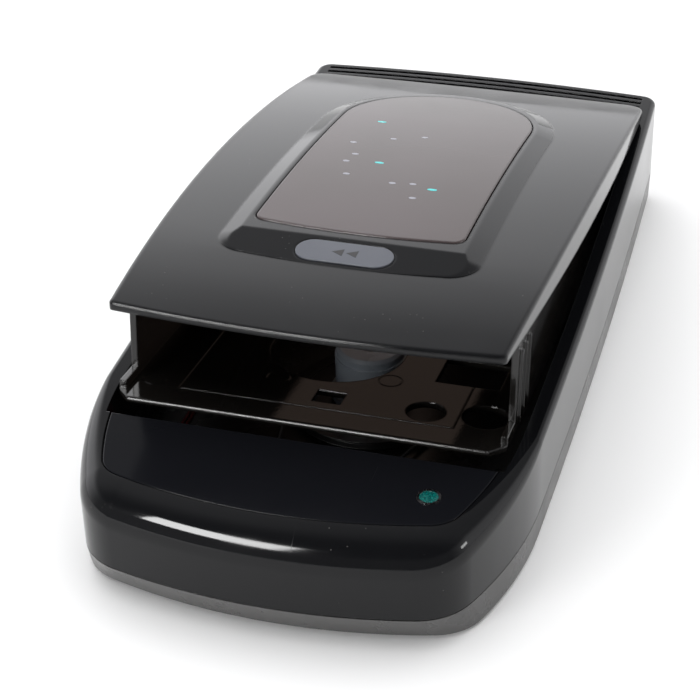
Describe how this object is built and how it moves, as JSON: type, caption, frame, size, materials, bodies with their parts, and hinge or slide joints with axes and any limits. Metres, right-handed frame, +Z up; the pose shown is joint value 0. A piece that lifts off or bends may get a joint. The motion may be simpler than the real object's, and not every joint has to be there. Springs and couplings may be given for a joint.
{
  "type": "video cassette rewinder",
  "caption": "Pop-up rewinder for a half-inch video cassette: a sprung lid with a cassette carrier tips down onto a belt-driven reel spindle in a flat casing.",
  "frame": {"origin": "on the surface that the rubber feet stand on, under the middle of the casing's length and width", "axes": "+X right, +Y to the back along the length, +Z up; the cassette goes in at the front, -Y"},
  "size_m": [0.126, 0.264, 0.0669],
  "materials": {
    "gloss_black": "gloss",
    "casing_lower": "satin gloss",
    "panel_black": "gloss",
    "carrier_black": "gloss",
    "smoked_window": "smoked gloss",
    "window_print": "matt print",
    "badge_grey": "satin",
    "led_teal": "translucent gloss",
    "collar_chrome": "bright",
    "led_clear": "clear epoxy",
    "spindle_grey": "satin moulded",
    "pulley_white": "acetal",
    "pulley_black": "acetal",
    "felt": "felt",
    "steel": "plain",
    "spring_steel": "bright",
    "zinc": "zinc plated",
    "brass": "plain",
    "rubber": "matt",
    "board": "phenolic board",
    "chip_black": "matt",
    "capacitor_sleeve": "sleeved",
    "resistor_body": "lacquered",
    "lead_red": "insulated wire",
    "lead_black": "insulated wire",
    "foam": "open-cell foam",
    "rubber_feet": "matt"
  },
  "bodies": {
    "casing": {"upper_casing": "gloss_black", "lower_casing": "casing_lower", "front_panel": "panel_black", "led_lens": "led_teal", "led_collar": "collar_chrome", "led_diode": "led_clear", "motor_can": "zinc", "motor_end_cap": "chip_black", "motor_bearing": "brass", "motor_bracket": "zinc", "motor_grommets": "rubber", "motor_screws": "steel", "drive_belt": "rubber", "circuit_board": "board", "board_screws": "steel", "board_standoffs": "chip_black", "control_chip": "chip_black", "capacitors": "capacitor_sleeve", "power_transistor": "chip_black", "resistors": "resistor_body", "dc_jack": "chip_black", "dc_jack_pin": "steel", "jack_support": "chip_black", "power_leads": "lead_red", "motor_leads": "lead_black", "lid_switch_body": "chip_black", "latch_pin": "steel", "latch_spring": "spring_steel", "hub_axles": "steel", "hub_washers": "pulley_white", "axle_clips": "spring_steel", "hinge_brackets": "zinc", "lift_springs": "spring_steel", "casing_screws": "steel", "rubber_feet": "rubber_feet"},
    "lid": {"lid_cover": "gloss_black", "window_lens": "smoked_window", "window_backing": "window_print", "badge": "badge_grey", "cassette_carrier": "carrier_black", "hold_down_springs": "spring_steel", "stop_pad": "foam", "hinge_pins": "steel"},
    "drive_hub": {"drive_pulley": "pulley_black", "clutch_felt": "felt", "drive_spindle": "spindle_grey"},
    "idler_hub": {"idler_spindle": "spindle_grey"},
    "motor_rotor": {"motor_armature": "steel", "motor_pulley": "brass"},
    "latch": {"latch_hook": "pulley_white"},
    "switch": {"switch_lever": "steel"}
  },
  "joints": [
    {"name": "lid_hinge", "type": "hinge", "parent": "casing", "child": "lid", "pos_m": [0, 0.1082, 0.028], "axis": [1, 0, 0], "range_deg": [0, 8.3], "stiffness_Nm_per_rad": 1.2, "springref_deg": -20.05, "deforming": ["lift_springs"]},
    {"name": "drive_spin", "type": "hinge", "parent": "casing", "child": "drive_hub", "pos_m": [0.0015, -0.02705, 0.015], "axis": [0, 0, 1], "continuous": true},
    {"name": "motor_spin", "type": "hinge", "parent": "casing", "child": "motor_rotor", "pos_m": [-0.006, -0.108, 0.015], "axis": [0, 0, 1], "continuous": true},
    {"name": "idler_spin", "type": "hinge", "parent": "casing", "child": "idler_hub", "pos_m": [0.0015, 0.06495, 0.01], "axis": [0, 0, 1], "continuous": true},
    {"name": "latch_hinge", "type": "hinge", "parent": "casing", "child": "latch", "pos_m": [0.0022, -0.0693, 0.0052], "axis": [1, 0, 0], "range_deg": [0, 14], "stiffness_Nm_per_rad": 0.004, "springref_deg": 28.65},
    {"name": "switch_lever_hinge", "type": "hinge", "parent": "casing", "child": "switch", "pos_m": [-0.039, -0.0938, 0.0076], "axis": [1, 0, 0], "range_deg": [-24, 0]}
  ],
  "couplings": [
    {"joint": "motor_spin", "follows": "drive_spin", "ratio": 5.3516},
    {"joint": "switch_lever_hinge", "follows": "lid_hinge", "ratio": -2.89}
  ]
}
